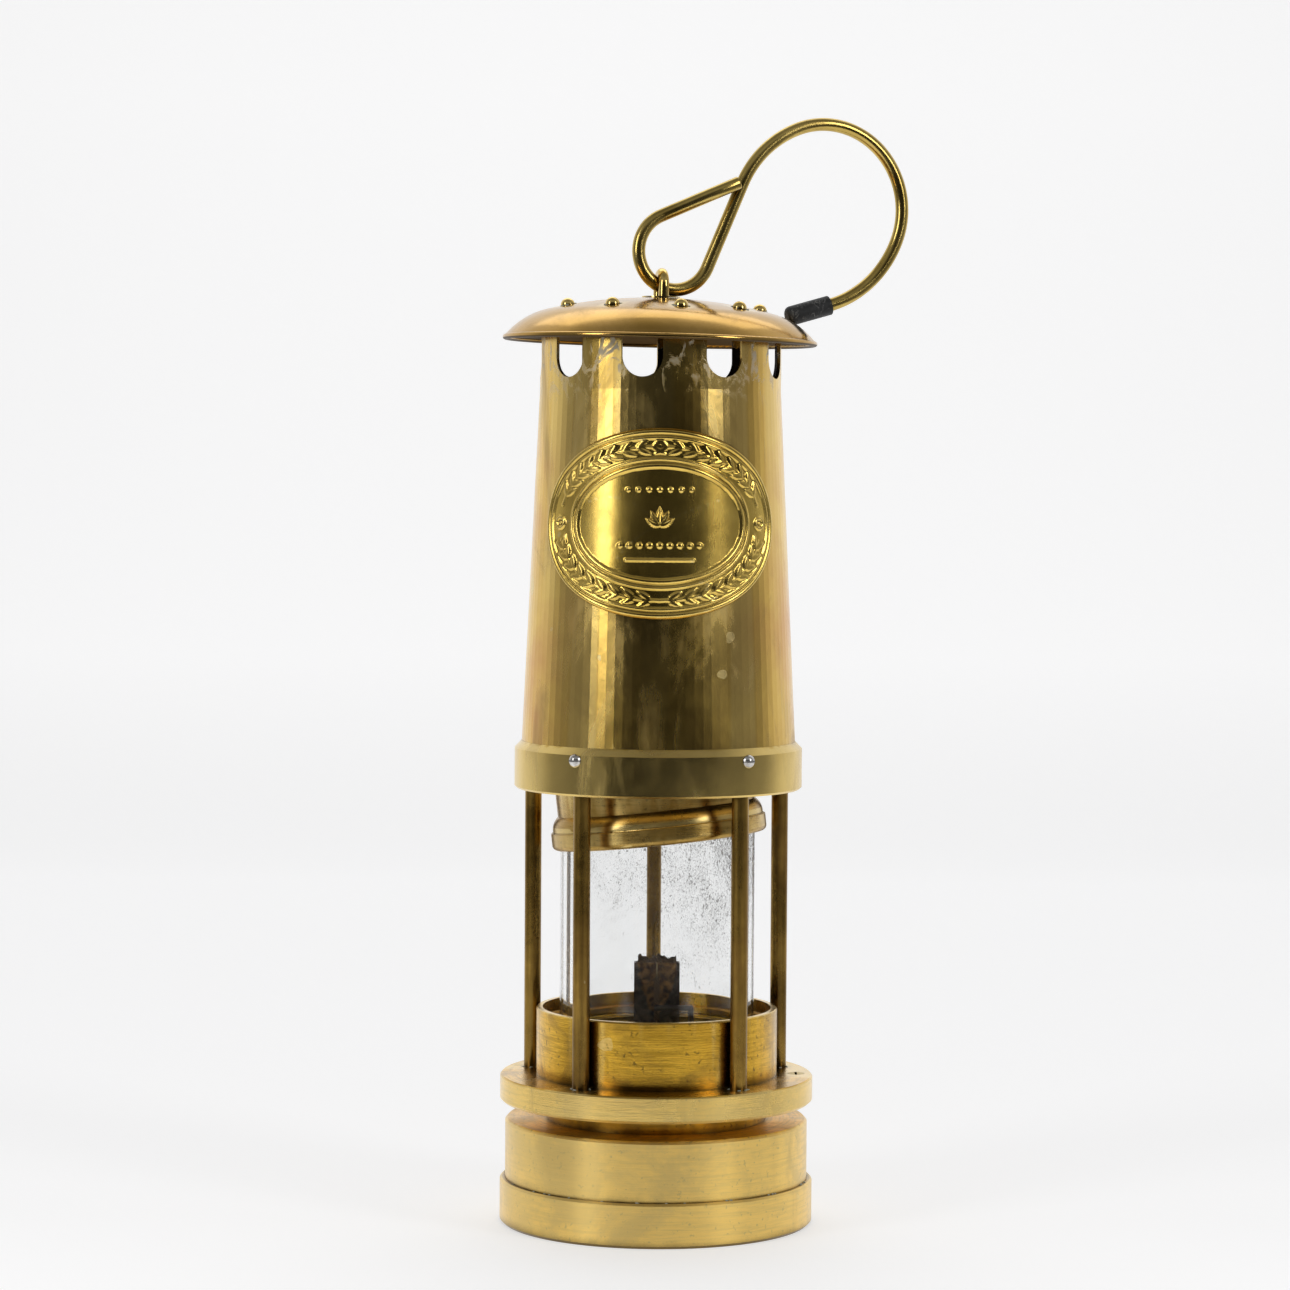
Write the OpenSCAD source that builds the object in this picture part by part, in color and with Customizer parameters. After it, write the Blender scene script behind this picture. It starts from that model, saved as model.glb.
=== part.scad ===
// Flame safety lamp: oil vessel, pillar frame, glass, gauzes, vented bonnet, hood and hook.
// Millimetres, +Z up, origin at the centre of the base. The front is -Y.

/* [Oil vessel] */
// Radius of the band round the foot of the vessel
band_r = 44.5; // [40:0.5:54]
// Height of the foot band
band_h = 12.5; // [10:0.5:16]
// Radius of the vessel wall above the band
vessel_r = 43; // [38.5:0.5:43.5]
// Height of the vessel up to its deck
vessel_h = 29.5; // [26:0.5:36]
// Thickness of the vessel wall
vessel_wall = 1.6; // [1.2:0.1:2.5]
// Thickness of the deck
deck_t = 2.5; // [2:0.1:4]
// Thickness of the foot's floor
floor_t = 2; // [1.5:0.1:3]

/* [Screwed neck] */
// Bore of the frame's collar
collar_bore_r = 31.5; // [30.5:0.1:32]
// Radial gap between neck and collar
neck_gap = 0.2; // [0.15:0.05:0.4]
// Pitch of the screw
pitch = 1.75; // [1.5:0.25:2.5]
// Gap left between deck and flange with the vessel partly unscrewed
open_gap = 5; // [4:0.25:6]

/* [Frame] */
// Radius of the lower ring's flange
flange_r = 44.5; // [43:0.5:54]
// Thickness of the flange
flange_t = 7.5; // [6:0.5:9]
// Outer radius of the collar
collar_r = 34.3; // [33.6:0.1:35]
// Height of the collar above the flange
collar_h = 19; // [16:0.5:22]
// Number of pillars
pillar_count = 5; // [3:1:6]
// Pillar diameter
pillar_d = 4.75; // [4:0.05:5.2]
// Radius of the circle the pillars stand on
pillar_pitch_r = 37.2; // [37:0.1:38]
// Free length of the pillars
pillar_len = 81.6; // [78:0.2:100]
// Turn of the pillar circle from the front
pillar_turn = 1.7; // [-10:0.1:10]
// Radius of the upper ring
ring_r = 40.8; // [40.4:0.1:44]
// Height of the upper ring
ring_h = 13.4; // [12:0.2:16]

/* [Glass] */
// Outside diameter of the glass
glass_d = 55.3; // [53:0.1:55.6]
// Wall of the glass
glass_wall = 4; // [3:0.1:5]
// Height of the glass
glass_h = 60; // [58:0.5:64]

/* [Gauze carrier] */
// Outside radius of the carrier's lower band
carrier_r = 30.6; // [30.2:0.1:31]
// Depth of the socket that drops over the glass
socket_h = 7.1; // [6:0.1:8]
// How far the carrier sits askew
carrier_tilt = 6.5; // [0:0.1:7]
// Height of the outer gauze
gauze_h = 113; // [90:1:115]

/* [Bonnet and hood] */
// Bonnet radius at the top of the upper ring
bonnet_low_r = 38.8; // [38:0.1:39]
// Bonnet radius below the slots
bonnet_top_r = 34.1; // [33:0.1:36]
// Thickness of the bonnet sheet
bonnet_t = 1; // [0.8:0.1:1.2]
// Height of the coned part above the upper ring
bonnet_cone_h = 99; // [95:1:120]
// Number of vent slots, tabs and rivets
slot_count = 9; // [6:1:10]
// Width of a vent slot
slot_w = 11.4; // [8:0.2:12]
// Radius of the hood's rim
hood_r = 44.5; // [42:0.5:48]
// Radius of curvature of the hood's crown
crown_r = 134; // [120:1:160]
// Lean of the hood towards +X
hood_tilt = 1.1; // [0:0.1:1.5]

/* [Hook] */
// Diameter of the hook wire
hook_d = 3.75; // [3.4:0.05:4]
// Turn of the hook's plane from the X axis, away from the front
hook_turn = 20; // [0:1:40]
// Radius of the hook's small bend, which runs in the eye
eye_bend_r = 10.8; // [10.6:0.1:12]
// Radius of the hook's large bend
hook_bend_r = 24; // [22:0.5:26]

/* [Burner] */
// Width of the wick tube
wick_tube_w = 12.9; // [11:0.1:15]
// Depth of the wick tube
wick_tube_d = 4; // [3.4:0.1:5]
// Height of the wick tube above the burner plate
wick_tube_rise = 22.3; // [20:0.5:26]
// Diameter of the pricker wire
pricker_d = 1.6; // [1.2:0.1:2]

/* [Hidden] */
$fn = 96;

brass = "#b08d3c";
pale_brass = "#c9a45a";
dark_brass = "#7d6330";
steel = "#b8b8b8";
fit = 0.05;      // gap between pieces that are soldered or pressed together
over = 1;        // how far a cutter runs past the face that it cuts

// Heights of the frame
flange_z = vessel_h + open_gap;
flange_top = flange_z + flange_t;
collar_top = flange_top + collar_h;
ring_z = flange_top + pillar_len;
ring_top = ring_z + ring_h;
pillar_step = 360 / pillar_count;
spigot_r = pillar_d / 2 - 0.8;
spigot_h = 4;

// Neck of the vessel, which carries the glass
neck_r = collar_bore_r - neck_gap;
seat_t = 3;
seat_z = collar_top - 9.5;
seat_rise = 3;
groove_h = 0.9;
groove_t = 0.35;
plate_t = 2;
plate_r = neck_r - 4.8;
plate_step = 2;
gasket_t = 1;
glass_r = glass_d / 2;
glass_z = seat_z + gasket_t;
glass_top = glass_z + glass_h;

// Gauze carrier, whose frame has z = 0 at the foot of its band
socket_r = glass_r + 1.35;
band_ring_h = 5.1;
seam_h = 0.5;
bell_r = carrier_r - 0.6;
neck_ring_r = carrier_r - 2.4;
carrier_h = 22;
upper_gasket_t = 1;
roof_z = socket_h + upper_gasket_t;
roof_t = 1.5;
ledge_z = roof_z + roof_t;
gauze_bore_r = neck_ring_r - 2;
gauze_r = gauze_bore_r - 1.6;
gauze_top_r = 15.5;
gauze_t = 0.6;
gauze_gap = 2;
tilt_dir = -19.5;

// Screws that hold the bonnet in the upper ring
screw_r = 1.2;
screw_z = ring_top - 3.5;
screw_head_r = 1.9;

// Bonnet, hood and hook heights
skirt_depth = 8.5;
skirt_r = bonnet_low_r;
rebate_r = skirt_r + fit;
bore_step = 5.8;
cone_top = ring_top + bonnet_cone_h;
slot_pitch = 360 / slot_count;
slot_turn = -8.6;
slot_z = cone_top + 3.3;
hood_t = 1;
hood_z = cone_top + 26.2;
crown_z = hood_z - crown_r;
shoulder_r = 22;
rim_slope = 52;
rim_bead_r = 0.8;
shoulder_c = hood_r - rim_bead_r - (shoulder_r - hood_t / 2) * sin(rim_slope);
shoulder_z = crown_z + sqrt(pow(crown_r - shoulder_r, 2) - pow(shoulder_c, 2));
tab_r = 25;
tab_gap = 0.08;
rivet_pitch_r = 28;
rivet_r = 2;
rivet_h = 1.9;
rivet_shank_r = 1;

// Oval badge plate, laid round the bonnet's cone
badge_z = ring_top + 62;
badge_t = 0.6;
badge_w = 73.4;
badge_h = 52.4;
badge_rim = 2.2;
badge_relief = 0.6;
badge_inner_w = 48.6;
badge_inner_h = 31.8;

// Swivel eye and hook
eye_wire_r = 1.5;
eye_r = hook_d / 2 + 0.425 + eye_wire_r;
eye_turn = 11;
eye_foot_t = 0.35;
eye_shank_r = 2;
eye_shank_gap = 0.06;
washer_r = 4.6;
nut_r = 3;
hook_r = hook_d / 2;
bend_u = 4;
bend_z = hood_z + eye_foot_t + 0.15 + hook_r + eye_bend_r;
eye_z = bend_z - sqrt(pow(eye_bend_r, 2) - pow(bend_u, 2));
leg_heading = 203.7;
leg_len = 24.8;
leg_splay = 7.8;
bend_facet = 6;
wire_sides = 16;
sleeve_len = 12;
sleeve_r = 2.8;
sleeve_bore_gap = 0.05;
// Steps of the hook wire: [bend radius, turn in degrees, + to the left], or [0, length]
hook_path = [[eye_bend_r, 222.7], [0, 26.1], [30.3, -45.4], [hook_bend_r, -132.5],
             [31.5, -53], [0, sleeve_len]];

// Burner
wick_t = 2.4;
wick_w = wick_tube_w - 1.6;
tube_wall = 0.5;
wick_rise = 2.2;
wick_z = 15;
tube_top = seat_z + wick_tube_rise;
pricker_x = 9.6;
pricker_y = -4.5;
pricker_r = pricker_d / 2;
arm_z = tube_top - 12.5;
slot_gap = 1.6;
recess_r = 7.5;
recess_h = 11;
recess_wall = 1;
knob_r = 5;
knob_h = 4;
knob_z = 2.8;
plug_y = 14;
plug_r = 5;
plug_thread_r = 3.5;
lock_r = 2.4;
lock_pitch_r = 39.8;
home_turn = 1010; // degrees from the drawn position to screwed home
lock_gap = 0.06;

// A tube on the Z axis
module tube(outer, inner, low, high) {
    rotate_extrude() translate([inner, low]) square([outer - inner, high - low]);
}

// A solid disc or rod on the Z axis
module rod(r, low, high) {
    translate([0, 0, low]) cylinder(r = r, h = high - low);
}

// Shallow thread grooves in a profile, centred on radius r
module groove_profile(r, low, high) {
    for (z = [low : pitch : high])
        translate([r, z]) polygon([[-groove_t, 0], [0, -groove_h / 2], [groove_t, 0], [0, groove_h / 2]]);
}

module around(count, turn, r) {
    for (i = [0 : count - 1])
        rotate([0, 0, turn - 90 + i * 360 / count]) translate([r, 0, 0]) children();
}

// ---- Frame ----
module lower_ring() {
    color(brass) difference() {
        rotate_extrude() difference() {
            union() {
                polygon([[collar_bore_r, flange_z], [flange_r - 0.8, flange_z], [flange_r, flange_z + 0.8],
                         [flange_r, flange_top - 0.5], [flange_r - 0.5, flange_top],
                         [collar_bore_r, flange_top]]);
                polygon([[collar_bore_r, flange_z], [collar_r, flange_z], [collar_r, collar_top - 0.4],
                         [collar_r - 0.4, collar_top], [collar_bore_r + 1, collar_top],
                         [collar_bore_r + 1, collar_top - 3.5], [collar_bore_r, collar_top - 4]]);
            }
            groove_profile(collar_bore_r, flange_z + 3, collar_top - 6);
        }
        around(pillar_count, pillar_turn - pillar_step / 2, pillar_pitch_r)
            rod(spigot_r + fit, flange_top - spigot_h, flange_top + over);
        translate([lock_pitch_r, 0, 0]) rod(lock_r + lock_gap, flange_z - over, flange_top + over);
    }
}

module pillar(i) {
    color(dark_brass) rotate([0, 0, pillar_turn - pillar_step / 2 - 90 + i * pillar_step])
        translate([pillar_pitch_r, 0, 0]) {
            rod(pillar_d / 2, flange_top, ring_z);
            rod(spigot_r, flange_top - spigot_h + 0.3, ring_z + spigot_h - 0.3);
        }
}

module upper_ring() {
    inner = rebate_r - bore_step;
    color(brass) difference() {
        rotate_extrude() difference() {
            polygon([[inner, ring_z], [ring_r - 0.6, ring_z], [ring_r, ring_z + 0.6],
                     [ring_r, ring_top - 2], [rebate_r, ring_top], [rebate_r, ring_top - skirt_depth],
                     [inner, ring_top - skirt_depth]]);
            translate([ring_r, ring_top]) circle(r = 1.3);
        }
        around(pillar_count, pillar_turn - pillar_step / 2, pillar_pitch_r)
            rod(spigot_r + fit, ring_z - over, ring_z + spigot_h);
        around(pillar_count, pillar_turn - pillar_step / 2, 0)
            translate([rebate_r - 2, 0, screw_z]) rotate([0, 90, 0]) cylinder(r = screw_r + fit, h = 6);
    }
}

module ring_screws() {
    color(steel) around(pillar_count, pillar_turn - pillar_step / 2, 0)
        translate([skirt_r - 1.6, 0, screw_z]) rotate([0, 90, 0]) difference() {
            union() {
                cylinder(r = screw_r, h = ring_r - skirt_r + 1.8);
                intersection() {
                    translate([0, 0, ring_r - skirt_r + 1.62]) cylinder(r = screw_head_r, h = 2);
                    translate([0, 0, ring_r - skirt_r + 1.1]) sphere(r = screw_head_r + 0.1);
                }
            }
            translate([-0.25, -3, ring_r - skirt_r + 2.5]) cube([0.5, 6, 2]);
        }
}

// ---- Bonnet and hood ----
module hood_place() {
    translate([0, 0, hood_z]) rotate([0, hood_tilt, 0]) translate([0, 0, -hood_z]) children();
}

// Half profile of the space under the hood's skin, set in by inset
module crown_profile(inset) {
    intersection() {
        union() {
            intersection() {
                translate([0, crown_z]) circle(r = crown_r - inset, $fn = 240);
                translate([0, shoulder_z]) square([shoulder_c * crown_r / (crown_r - shoulder_r), 60]);
            }
            translate([shoulder_c, shoulder_z]) circle(r = shoulder_r - inset, $fn = 240);
            square([hood_r + 10, shoulder_z]);
        }
        square([hood_r + 10, hood_z + 10]);
    }
}

module bonnet() {
    wall_top = hood_z - 1.5;
    color(brass) difference() {
        intersection() {
            union() {
                rotate_extrude() polygon([
                    [skirt_r - bonnet_t, ring_top - skirt_depth + 0.2], [skirt_r, ring_top - skirt_depth + 0.2],
                    [skirt_r, ring_top], [bonnet_top_r, cone_top], [bonnet_top_r, wall_top],
                    [bonnet_top_r - bonnet_t, wall_top], [bonnet_top_r - bonnet_t, cone_top],
                    [skirt_r - bonnet_t, ring_top]]);
                hood_place() difference() {
                    tube(bonnet_top_r - 0.4, tab_r, hood_z - 10, hood_z);
                    translate([0, 0, crown_z]) sphere(r = crown_r - hood_t - tab_gap - bonnet_t, $fn = 240);
                }
            }
            hood_place() rotate_extrude() crown_profile(hood_t + tab_gap);
        }
        around(slot_count, slot_turn, 0) {
            translate([tab_r - 3, -slot_w / 2, slot_z + slot_w / 2]) cube([20, slot_w, 40]);
            translate([tab_r - 3, 0, slot_z + slot_w / 2]) rotate([0, 90, 0]) cylinder(r = slot_w / 2, h = 20);
        }
        hood_place() around(slot_count, slot_turn + slot_pitch / 2, rivet_pitch_r)
            rod(rivet_shank_r + fit, hood_z - 20, hood_z + over);
        around(pillar_count, pillar_turn - pillar_step / 2, 0)
            translate([skirt_r - 4, 0, screw_z]) rotate([0, 90, 0]) cylinder(r = screw_r + fit, h = 6);
    }
}

// Outside radius of the bonnet's cone at height z
function cone_r(z) = skirt_r + (bonnet_top_r - skirt_r) * (z - ring_top) / bonnet_cone_h;

// An oval w by h, laid round the cone, seen from the front
function oval_points(w, h) = [for (a = [0 : 5 : 355])
    [cone_r(badge_z) * sin(w / 2 * cos(a) / cone_r(badge_z) * 180 / PI), badge_z + h / 2 * sin(a)]];

module oval_prism(w, h) {
    rotate([90, 0, 0]) linear_extrude(height = skirt_r + 10) polygon(oval_points(w, h));
}

// Conical skin from low to high above the bonnet's surface
module cone_skin(low, high) {
    rotate_extrude() polygon([[skirt_r + low, ring_top], [skirt_r + high, ring_top],
                              [bonnet_top_r + high, cone_top], [bonnet_top_r + low, cone_top]]);
}

module badge_plate() {
    color(pale_brass) difference() {
        intersection() {
            cone_skin(fit, badge_t + badge_relief);
            oval_prism(badge_w, badge_h);
        }
        difference() {
            intersection() {
                cone_skin(badge_t, badge_t + badge_relief + 5);
                oval_prism(badge_w - 2 * badge_rim, badge_h - 2 * badge_rim);
            }
            difference() {
                oval_prism(badge_inner_w + badge_rim, badge_inner_h + badge_rim);
                oval_prism(badge_inner_w - badge_rim, badge_inner_h - badge_rim);
            }
        }
    }
}

module hood() {
    color(pale_brass) hood_place()
        difference() {
            rotate_extrude() {
                intersection() {
                    difference() {
                        crown_profile(0);
                        crown_profile(hood_t);
                    }
                    polygon([[0, shoulder_z + over], [0, hood_z + 10], [hood_r + 10, hood_z + 10],
                             [shoulder_c + 40 * sin(rim_slope), shoulder_z + 40 * cos(rim_slope)],
                             [shoulder_c, shoulder_z], [shoulder_c - 10, shoulder_z + over]]);
                }
                translate([hood_r - rim_bead_r, shoulder_z + (shoulder_r - hood_t / 2) * cos(rim_slope)])
                    circle(r = rim_bead_r);
            }
            around(slot_count, slot_turn + slot_pitch / 2, rivet_pitch_r)
                rod(rivet_shank_r + fit, hood_z - 20, hood_z + over);
            rod(eye_shank_r + eye_shank_gap, hood_z - 10, hood_z + over);
        }
}

module hood_rivets() {
    top = crown_z + sqrt(pow(crown_r, 2) - pow(rivet_pitch_r, 2));
    lean = asin(rivet_pitch_r / crown_r);
    color(pale_brass) hood_place() around(slot_count, slot_turn + slot_pitch / 2, rivet_pitch_r) {
        rod(rivet_shank_r, top - hood_t - bonnet_t - 1.2, top + 0.6);
        translate([0, 0, top]) rotate([0, lean, 0]) {
            intersection() {
                rod(rivet_r, 0.06, rivet_h);
                translate([0, 0, rivet_h - rivet_r - 0.05]) sphere(r = rivet_r + 0.05);
            }
            rod(1.7, -hood_t - bonnet_t - 0.9, -hood_t - bonnet_t - 0.3);
        }
    }
}

// ---- Lock ----
module lock_bolt() {
    color(dark_brass) translate([lock_pitch_r, 0, 0]) difference() {
        rod(lock_r, flange_z + 0.4, flange_top);
        translate([-0.35, -lock_r - over, flange_top - 0.7]) cube([0.7, 2 * lock_r + 2 * over, 2]);
    }
}

// ---- Swivel eye ----
module swivel_eye() {
    color(pale_brass) hood_place() rotate([0, 0, eye_turn]) {
        translate([0, 0, eye_z]) rotate([0, 0, 90]) rotate([90, 0, 0])
            rotate_extrude(angle = 180) translate([eye_r, 0]) circle(r = eye_wire_r);
        for (side = [-1, 1])
            translate([0, side * eye_r, 0]) rod(eye_wire_r, hood_z + eye_foot_t / 2, eye_z);
        rod(eye_r + eye_wire_r + 0.2, hood_z + 0.08, hood_z + eye_foot_t);
        rod(eye_shank_r, hood_z - 4.2, hood_z + 0.1);
    }
}

module eye_washer() {
    color(dark_brass) hood_place() {
        tube(washer_r, eye_shank_r + fit, hood_z - hood_t - 1.4, hood_z - hood_t - 0.5);
        tube(nut_r, eye_shank_r + fit, hood_z - hood_t - 2.9, hood_z - hood_t - 1.2);
    }
}

// ---- Hook ----
// Place and heading [x, z, heading] a fraction f of the way along one step of a wire
function along_step(from, step, f = 1) =
    step[0] == 0
        ? [from[0] + f * step[1] * cos(from[2]), from[1] + f * step[1] * sin(from[2]), from[2]]
        : let (side = sign(step[1]), heading = from[2] + f * step[1])
          [from[0] + side * step[0] * (sin(heading) - sin(from[2])),
           from[1] - side * step[0] * (cos(heading) - cos(from[2])), heading];

// Place and heading at the start of step n
function step_start(path, n) = n == 0 ? [0, 0, 0] : along_step(step_start(path, n - 1), path[n - 1]);

// Number of rings along a step: a straight needs one, a bend one every few degrees
function ring_count(step) = step[0] == 0 ? 1 : ceil(abs(step[1]) / bend_facet);

// Centre, heading and sideways splay of every ring of the hook, from the brazed end to the tip
hook_rings = concat(
    [[-leg_len * cos(leg_splay), -leg_len * sin(leg_splay), 0, 0, leg_splay],
     [-1.5, 0, 0, 0, leg_splay / 2]],
    [for (n = [0 : len(hook_path) - 1]) for (k = [0 : ring_count(hook_path[n]) - 1])
        let (at = along_step(step_start(hook_path, n), hook_path[n], k / ring_count(hook_path[n])))
        [at[0], 0, at[1], at[2], 0]],
    [let (at = step_start(hook_path, len(hook_path))) [at[0], 0, at[1], at[2], 0]]);

function ring_point(ring, k) =
    let (h = ring[3], s = ring[4], a = 360 * k / wire_sides, n = hook_r * cos(a), b = hook_r * sin(a))
    [ring[0] - n * sin(h) - b * cos(h) * sin(s), ring[1] + b * cos(s),
     ring[2] + n * cos(h) - b * sin(h) * sin(s)];

// Frame of the hook: the start of the small bend, heading along +X
module hook_place() {
    rotate([0, 0, hook_turn]) translate([bend_u, 0, bend_z]) rotate([0, -leg_heading, 0])
        translate([0, 0, -eye_bend_r]) children();
}

module hook_wire() {
    n = wire_sides;
    last = len(hook_rings) - 1;
    sides = [for (i = [0 : last - 1]) for (k = [0 : n - 1])
        let (a = i * n + k, b = i * n + (k + 1) % n) each [[a, a + n, b + n], [a, b + n, b]]];
    color(pale_brass) hook_place() polyhedron(
        points = [for (ring = hook_rings) for (k = [0 : n - 1]) ring_point(ring, k)],
        faces = concat([[for (k = [0 : n - 1]) k]], sides, [[for (k = [n - 1 : -1 : 0]) last * n + k]]));
}

module tip_sleeve() {
    bore = hook_r + sleeve_bore_gap;
    at = step_start(hook_path, len(hook_path) - 1);
    color("#26282a") hook_place() translate([at[0], 0, at[1]]) rotate([0, 90 - at[2], 0])
        rotate_extrude() difference() {
            union() {
                square([sleeve_r, sleeve_len]);
                translate([0, sleeve_len]) intersection() {
                    circle(r = 1.5);
                    square([1.5, 1.5]);
                }
                translate([0, sleeve_len]) square([sleeve_r - 1.5, 1.5]);
                translate([sleeve_r - 1.5, sleeve_len]) intersection() {
                    circle(r = 1.5);
                    square([1.5, 1.5]);
                }
            }
            translate([0, -over]) square([bore, sleeve_len + over + 0.05]);
        }
}

// ---- Glass stack ----
module glass() {
    bevel = 0.4;
    inner = glass_r - glass_wall;
    color("#dfe8ea", 0.35) rotate_extrude() polygon([
        [inner + bevel, glass_z], [glass_r - bevel, glass_z], [glass_r, glass_z + bevel],
        [glass_r, glass_top - bevel], [glass_r - bevel, glass_top], [inner + bevel, glass_top],
        [inner, glass_top - bevel], [inner, glass_z + bevel]]);
}

module lower_gasket() {
    color("#8a7a5a") tube(glass_r + 0.3, glass_r - glass_wall, seat_z + 0.02, glass_z);
}

// ---- Vessel ----
module pricker_hole(r, low, high) {
    translate([pricker_x, pricker_y, 0]) rod(r, low, high);
}

module base_cup() {
    color(brass) difference() {
        union() {
            rotate_extrude() difference() {
                polygon([[0, 0], [band_r - 0.8, 0], [band_r, 0.8], [band_r, band_h - 0.6],
                         [band_r - 0.6, band_h], [0, band_h]]);
                translate([-over, floor_t]) square([vessel_r + fit + over, band_h]);
            }
            pricker_hole(recess_r + recess_wall, floor_t / 2, recess_h + recess_wall);
        }
        pricker_hole(recess_r, -over, recess_h);
        pricker_hole(pricker_r + 1 + fit, 0, recess_h + 5);
    }
}

module vessel_shell() {
    inner = vessel_r - vessel_wall;
    lower_bore = plate_r - plate_step;
    color(brass) difference() {
        rotate_extrude() difference() {
            polygon([[inner, floor_t + fit], [vessel_r, floor_t + fit], [vessel_r, vessel_h - 0.8],
                     [vessel_r - 0.8, vessel_h], [neck_r, vessel_h], [neck_r, seat_z + seat_rise],
                     [neck_r - seat_t, seat_z + seat_rise], [neck_r - seat_t, seat_z],
                     [plate_r + fit, seat_z], [plate_r + fit, seat_z - plate_t],
                     [lower_bore, seat_z - plate_t], [lower_bore, vessel_h - deck_t],
                     [inner, vessel_h - deck_t]]);
            groove_profile(neck_r, vessel_h + 4, seat_z - 1);
        }
        // Pocket that the lock bolt drops into when the vessel is screwed home
        rotate([0, 0, -home_turn]) translate([lock_pitch_r, 0, 0])
            rod(lock_r + 0.5, vessel_h - deck_t - over, vessel_h + over);
    }
}

module burner_plate() {
    color(dark_brass) difference() {
        rod(plate_r, seat_z - plate_t, seat_z);
        translate([-wick_tube_w / 2 - fit, -wick_tube_d / 2 - fit, seat_z - plate_t - over])
            cube([wick_tube_w + 2 * fit, wick_tube_d + 2 * fit, plate_t + 2 * over]);
        pricker_hole(pricker_r + 1 + fit, seat_z - plate_t - over, seat_z + over);
        translate([0, plug_y, 0]) rod(plug_thread_r + fit, seat_z - plate_t - over, seat_z + over);
    }
}

module wick_tube() {
    low = vessel_h;
    color("#5b4327") difference() {
        translate([-wick_tube_w / 2, -wick_tube_d / 2, low]) cube([wick_tube_w, wick_tube_d, tube_top - low]);
        translate([-wick_tube_w / 2 + tube_wall, -wick_tube_d / 2 + tube_wall, low - over])
            cube([wick_tube_w - 2 * tube_wall, wick_tube_d - 2 * tube_wall, tube_top - low + 2 * over]);
        translate([-slot_gap / 2, -wick_tube_d, arm_z - 4]) cube([slot_gap, wick_tube_d, 12]);
    }
}

module filler_plug() {
    washer_t = 0.6;
    color(brass) translate([0, plug_y, 0]) difference() {
        union() {
            rod(plug_r, seat_z + washer_t, seat_z + 3);
            rod(plug_thread_r, seat_z - 6, seat_z + washer_t + 0.2);
        }
        translate([-plug_r - over, -0.6, seat_z + 2]) cube([2 * plug_r + 2 * over, 1.2, 2]);
    }
}

module filler_washer() {
    color("#6d5a3a") translate([0, plug_y, 0]) tube(plug_r - 0.3, plug_thread_r + fit, seat_z + 0.02, seat_z + 0.58);
}

module pricker_tube() {
    color(dark_brass) translate([pricker_x, pricker_y, 0])
        tube(pricker_r + 1, pricker_r + 0.08, recess_h + 0.02, seat_z + 1);
}

// ---- Pricker and wick ----
module pricker_wire() {
    color(steel) {
        pricker_hole(pricker_r, knob_z + 0.5, arm_z);
        translate([pricker_x, pricker_y, arm_z]) sphere(r = pricker_r);
        translate([0, pricker_y, arm_z]) rotate([0, 90, 0]) cylinder(r = pricker_r, h = pricker_x);
        translate([0, pricker_y, arm_z]) sphere(r = pricker_r);
        translate([0, pricker_y, arm_z]) rotate([-90, 0, 0])
            cylinder(r = 0.55, h = -pricker_y - wick_t / 2 - 0.3);
    }
}

module pricker_knob() {
    color(brass) translate([pricker_x, pricker_y, 0]) difference() {
        rotate_extrude() polygon([[0, knob_z], [knob_r - 0.6, knob_z], [knob_r, knob_z + 0.6],
                                  [knob_r, knob_z + knob_h - 0.6], [knob_r - 0.6, knob_z + knob_h],
                                  [0, knob_z + knob_h]]);
        rod(pricker_r + 0.02, knob_z + 0.48, knob_z + knob_h + over);
    }
}

module wick() {
    color("#2c2621") translate([-wick_w / 2, -wick_t / 2, wick_z])
        cube([wick_w, wick_t, tube_top + wick_rise - wick_z]);
}

// ---- Gauze carrier ----
// Leans the carrier back on the left-hand top edge of the glass
module carrier_place() {
    translate([0, 0, glass_top]) rotate([0, 0, tilt_dir]) translate([-glass_r, 0, 0])
        rotate([0, -carrier_tilt, 0]) translate([glass_r, 0, -socket_h]) children();
}

module carrier_band() {
    corner = 1.5;
    color(pale_brass) carrier_place() rotate_extrude() difference() {
        union() {
            translate([socket_r, 0]) square([carrier_r - corner - socket_r + 0.01, band_ring_h]);
            translate([socket_r, corner]) square([carrier_r - socket_r, band_ring_h - corner]);
            intersection() {
                translate([carrier_r - corner, corner]) circle(r = corner);
                translate([socket_r, 0]) square([10, corner]);
            }
        }
        translate([carrier_r, band_ring_h]) circle(r = 0.3);
    }
}

module carrier_bell() {
    low = band_ring_h;
    flare = band_ring_h * 2;
    color(brass) carrier_place() rotate_extrude() difference() {
        union() {
            translate([socket_r, low + fit]) square([bell_r - socket_r, seam_h]);
            intersection() {
                translate([gauze_bore_r, low + seam_h]) square([bell_r - gauze_bore_r, flare - low]);
                translate([bell_r - 5, low + seam_h]) circle(r = 5);
            }
            translate([gauze_bore_r, low + 2]) square([neck_ring_r - gauze_bore_r, carrier_h - low - 2]);
            translate([gauze_r - gauze_gap - 2.5, roof_z]) square([gauze_bore_r - gauze_r + gauze_gap + 3, roof_t]);
        }
        translate([0, -over]) square([socket_r, roof_z + over]);
    }
}

module upper_gasket() {
    color("#8a7a5a") carrier_place() tube(socket_r - 0.1, glass_r - glass_wall, socket_h, roof_z);
}

module gauze_ring() {
    color(dark_brass) carrier_place()
        tube(gauze_bore_r - 0.1, gauze_r + fit, ledge_z + 0.02, ledge_z + 5);
}

// A closed gauze cone: base radius r, top radius top, height h
module gauze_cone(r, top, h) {
    color("#6b665c") carrier_place() translate([0, 0, ledge_z + 0.02]) rotate_extrude()
        polygon([[r - gauze_t, 0], [r, 0], [top, h], [0, h], [0, h - gauze_t], [top - gauze_t, h - gauze_t]]);
}

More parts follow.
